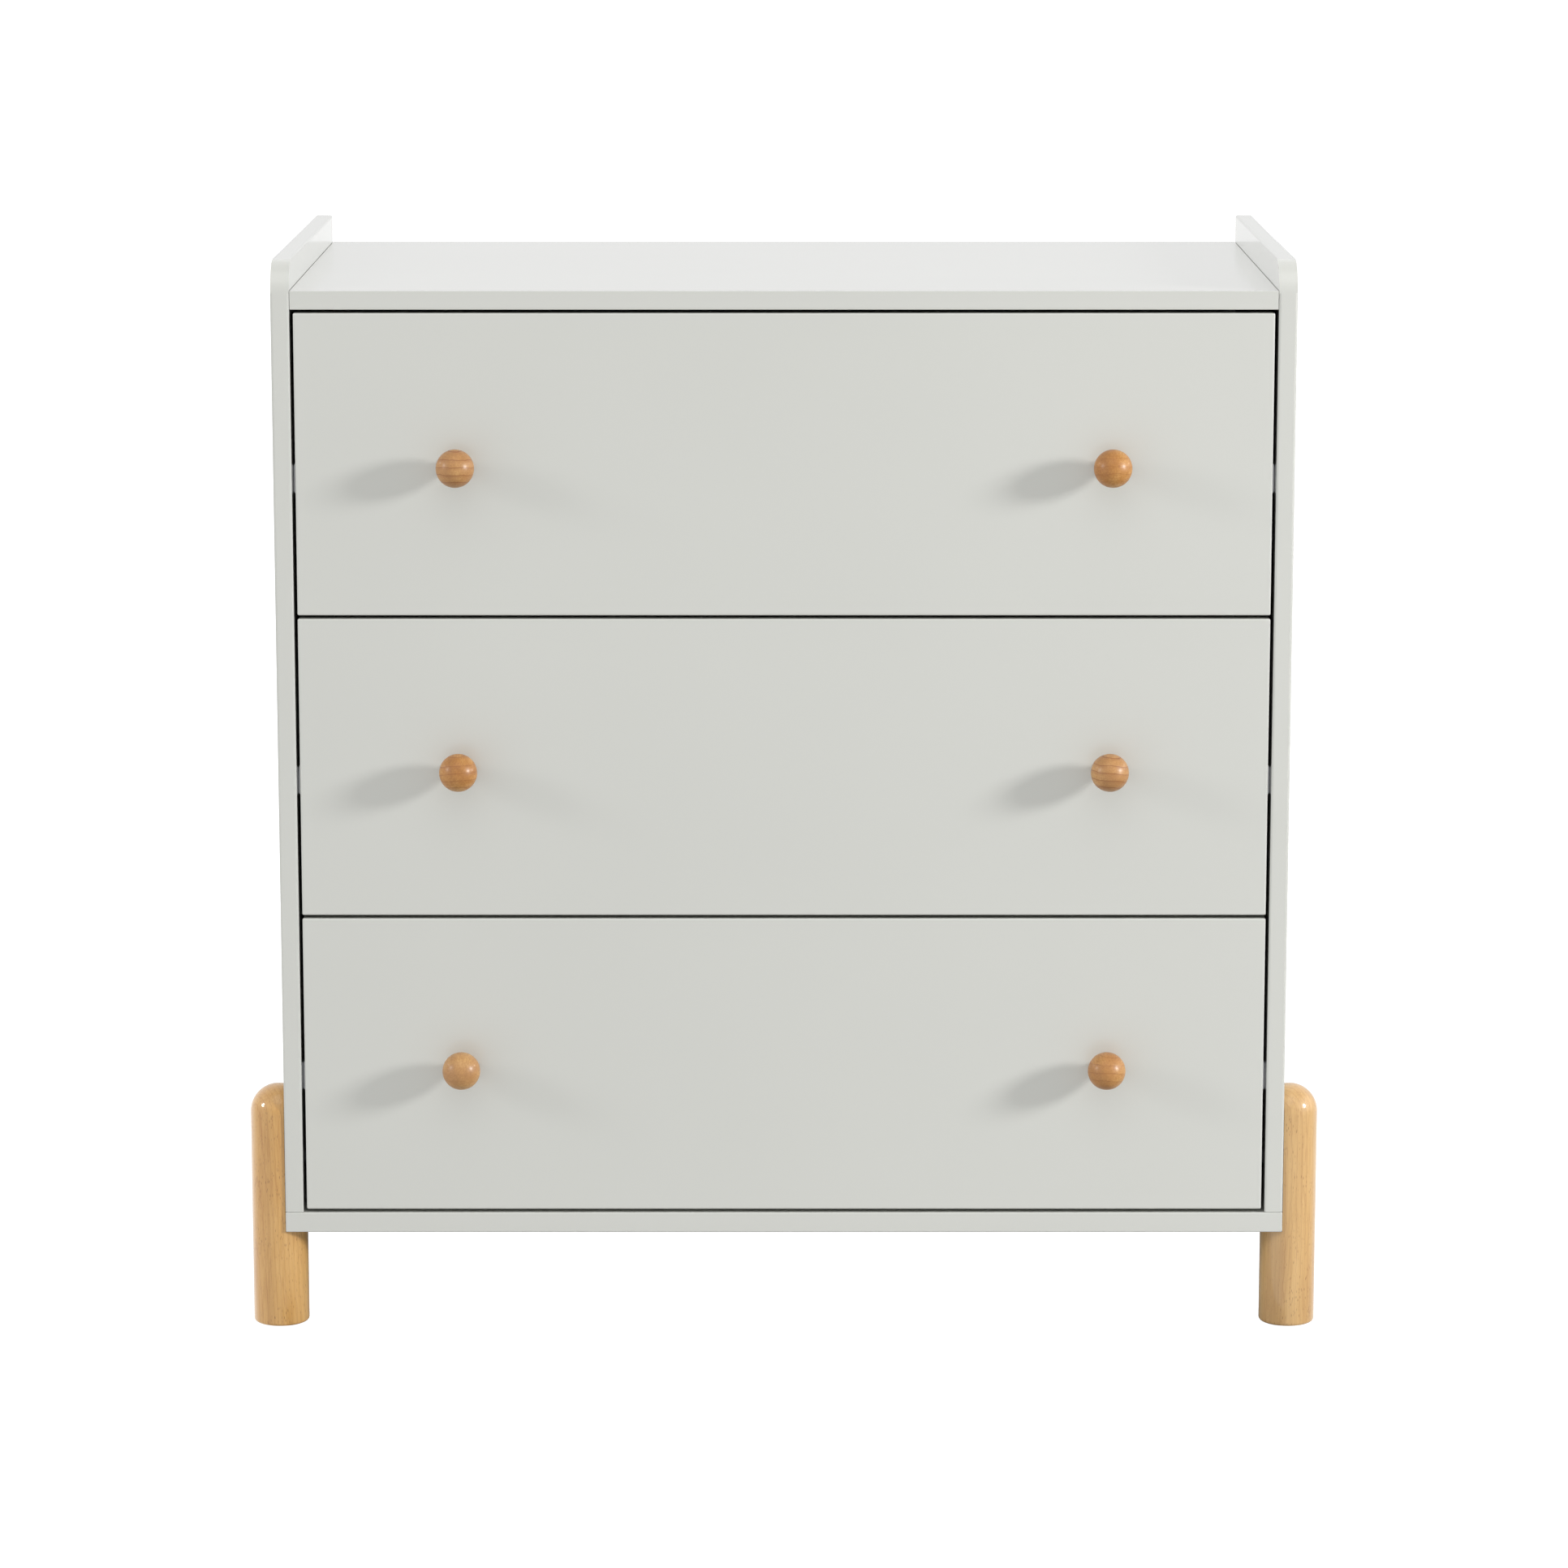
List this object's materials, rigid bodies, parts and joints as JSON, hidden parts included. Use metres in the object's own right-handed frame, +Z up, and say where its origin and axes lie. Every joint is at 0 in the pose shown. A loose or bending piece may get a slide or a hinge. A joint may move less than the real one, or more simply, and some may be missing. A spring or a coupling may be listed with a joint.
{
  "type": "changing table",
  "caption": "White nursery changing dresser: a chest of drawers with raised side panels round a flat top, ball knobs and round domed wooden legs.",
  "frame": {"origin": "on the floor, under the centre of the box round the whole closed object, knobs included", "axes": "+X across the width to the viewer's right, +Y from the drawer fronts to the back, +Z up"},
  "size_m": [0.943, 0.5206, 0.944],
  "materials": {
    "carcass_paint": "satin white paint on 16 and 18 mm board",
    "drawer_front_paint": "satin white paint on 16 mm board, edges eased",
    "drawer_box_board": "white laminated 12 mm board",
    "thin_board": "white faced 3 mm hardboard",
    "leg_wood": "clear satin lacquer on light close-grained hardwood",
    "knob_wood": "clear satin lacquer on turned hardwood",
    "slide_steel": "bright zinc plated rolled steel",
    "retainer_steel": "plain pressed steel strip with a film of grease",
    "fastener_steel": "zinc plated"
  },
  "bodies": {
    "carcass": {"side_panel_left": "carcass_paint", "side_panel_right": "carcass_paint", "top_panel": "carcass_paint", "bottom_panel": "carcass_paint", "back_panel": "thin_board", "leg_front_left": "leg_wood", "leg_front_right": "leg_wood", "leg_rear_left": "leg_wood", "leg_rear_right": "leg_wood", "leg_bolt_front_left": "fastener_steel", "leg_bolt_front_right": "fastener_steel", "leg_bolt_rear_left": "fastener_steel", "leg_bolt_rear_right": "fastener_steel", "slide_lower_left_cabinet_member": "slide_steel", "slide_lower_right_cabinet_member": "slide_steel", "slide_middle_left_cabinet_member": "slide_steel", "slide_middle_right_cabinet_member": "slide_steel", "slide_upper_left_cabinet_member": "slide_steel", "slide_upper_right_cabinet_member": "slide_steel"},
    "drawer_lower": {"drawer_lower_front": "drawer_front_paint", "drawer_lower_side_left": "drawer_box_board", "drawer_lower_side_right": "drawer_box_board", "drawer_lower_back": "drawer_box_board", "drawer_lower_bottom_panel": "thin_board", "drawer_lower_knob_left": "knob_wood", "drawer_lower_knob_right": "knob_wood", "drawer_lower_knob_screw_left": "fastener_steel", "drawer_lower_knob_screw_right": "fastener_steel", "slide_lower_left_drawer_member": "slide_steel", "slide_lower_right_drawer_member": "slide_steel"},
    "drawer_middle": {"drawer_middle_front": "drawer_front_paint", "drawer_middle_side_left": "drawer_box_board", "drawer_middle_side_right": "drawer_box_board", "drawer_middle_back": "drawer_box_board", "drawer_middle_bottom_panel": "thin_board", "drawer_middle_knob_left": "knob_wood", "drawer_middle_knob_right": "knob_wood", "drawer_middle_knob_screw_left": "fastener_steel", "drawer_middle_knob_screw_right": "fastener_steel", "slide_middle_left_drawer_member": "slide_steel", "slide_middle_right_drawer_member": "slide_steel"},
    "drawer_upper": {"drawer_upper_front": "drawer_front_paint", "drawer_upper_side_left": "drawer_box_board", "drawer_upper_side_right": "drawer_box_board", "drawer_upper_back": "drawer_box_board", "drawer_upper_bottom_panel": "thin_board", "drawer_upper_knob_left": "knob_wood", "drawer_upper_knob_right": "knob_wood", "drawer_upper_knob_screw_left": "fastener_steel", "drawer_upper_knob_screw_right": "fastener_steel", "slide_upper_left_drawer_member": "slide_steel", "slide_upper_right_drawer_member": "slide_steel"},
    "retainer_lower_left": {"slide_lower_left_ball_retainer": "retainer_steel"},
    "retainer_lower_right": {"slide_lower_right_ball_retainer": "retainer_steel"},
    "retainer_middle_left": {"slide_middle_left_ball_retainer": "retainer_steel"},
    "retainer_middle_right": {"slide_middle_right_ball_retainer": "retainer_steel"},
    "retainer_upper_left": {"slide_upper_left_ball_retainer": "retainer_steel"},
    "retainer_upper_right": {"slide_upper_right_ball_retainer": "retainer_steel"}
  },
  "joints": [
    {"name": "drawer_lower_slide", "type": "slide", "parent": "carcass", "child": "drawer_lower", "axis": [0, -1, 0], "range_m": [0, 0.3]},
    {"name": "drawer_middle_slide", "type": "slide", "parent": "carcass", "child": "drawer_middle", "axis": [0, -1, 0], "range_m": [0, 0.3]},
    {"name": "drawer_upper_slide", "type": "slide", "parent": "carcass", "child": "drawer_upper", "axis": [0, -1, 0], "range_m": [0, 0.3]},
    {"name": "retainer_lower_left_roll", "type": "slide", "parent": "carcass", "child": "retainer_lower_left", "axis": [0, -1, 0], "range_m": [0, 0.15]},
    {"name": "retainer_lower_right_roll", "type": "slide", "parent": "carcass", "child": "retainer_lower_right", "axis": [0, -1, 0], "range_m": [0, 0.15]},
    {"name": "retainer_middle_left_roll", "type": "slide", "parent": "carcass", "child": "retainer_middle_left", "axis": [0, -1, 0], "range_m": [0, 0.15]},
    {"name": "retainer_middle_right_roll", "type": "slide", "parent": "carcass", "child": "retainer_middle_right", "axis": [0, -1, 0], "range_m": [0, 0.15]},
    {"name": "retainer_upper_left_roll", "type": "slide", "parent": "carcass", "child": "retainer_upper_left", "axis": [0, -1, 0], "range_m": [0, 0.15]},
    {"name": "retainer_upper_right_roll", "type": "slide", "parent": "carcass", "child": "retainer_upper_right", "axis": [0, -1, 0], "range_m": [0, 0.15]}
  ],
  "couplings": [
    {"joint": "retainer_lower_left_roll", "follows": "drawer_lower_slide", "ratio": 0.5},
    {"joint": "retainer_lower_right_roll", "follows": "drawer_lower_slide", "ratio": 0.5},
    {"joint": "retainer_middle_left_roll", "follows": "drawer_middle_slide", "ratio": 0.5},
    {"joint": "retainer_middle_right_roll", "follows": "drawer_middle_slide", "ratio": 0.5},
    {"joint": "retainer_upper_left_roll", "follows": "drawer_upper_slide", "ratio": 0.5},
    {"joint": "retainer_upper_right_roll", "follows": "drawer_upper_slide", "ratio": 0.5}
  ]
}
